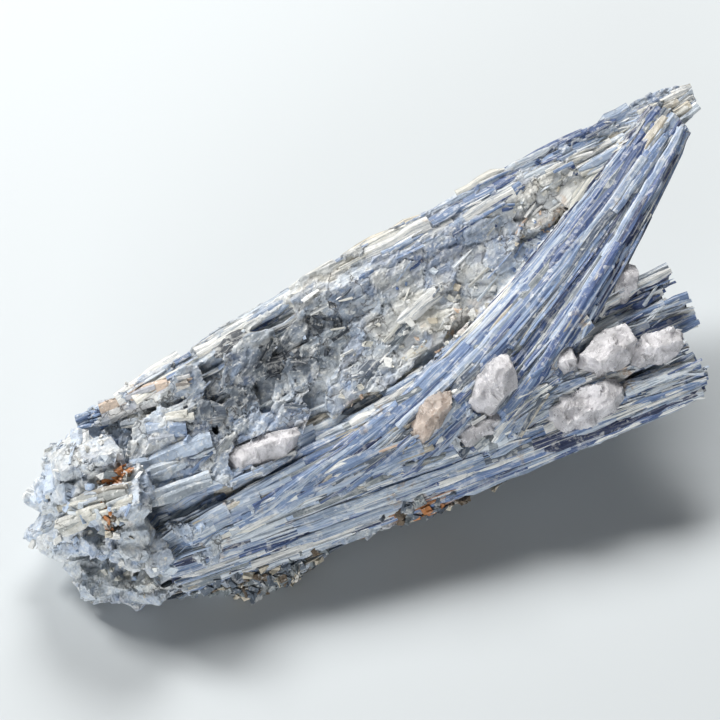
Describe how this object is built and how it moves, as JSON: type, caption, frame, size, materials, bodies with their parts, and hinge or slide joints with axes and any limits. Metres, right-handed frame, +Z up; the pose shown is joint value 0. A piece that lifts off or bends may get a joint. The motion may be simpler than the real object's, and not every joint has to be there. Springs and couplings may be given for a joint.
{
  "type": "kyanite blade cluster",
  "caption": "Natural mineral specimen: a wedge of blue kyanite blades that sweeps up to a pointed horn, with a lower fan, a crumbled root end and pale quartz grains in the fork.",
  "frame": {"origin": "on the floor under the middle of the specimen's bounding box, as it rests", "axes": "+X along the ridge from the crumbled root end to the horn, +Y to the back, away from the fork, +Z up"},
  "size_m": [0.1629, 0.07, 0.05],
  "materials": {
    "kyanite": "vitreous to pearly, streaked along the blades",
    "quartz": "cloudy, broken faces"
  },
  "bodies": {
    "root": {"kyanite_blades": "kyanite", "quartz_fork_large": "quartz", "quartz_fork_pink": "quartz", "quartz_fork_small": "quartz", "quartz_fork_plate": "quartz", "quartz_lower_tongue": "quartz", "quartz_upper_tongue": "quartz", "quartz_tongue_tip": "quartz", "quartz_sheaf_foot": "quartz", "quartz_notch": "quartz", "quartz_crevice": "quartz"}
  },
  "joints": []
}
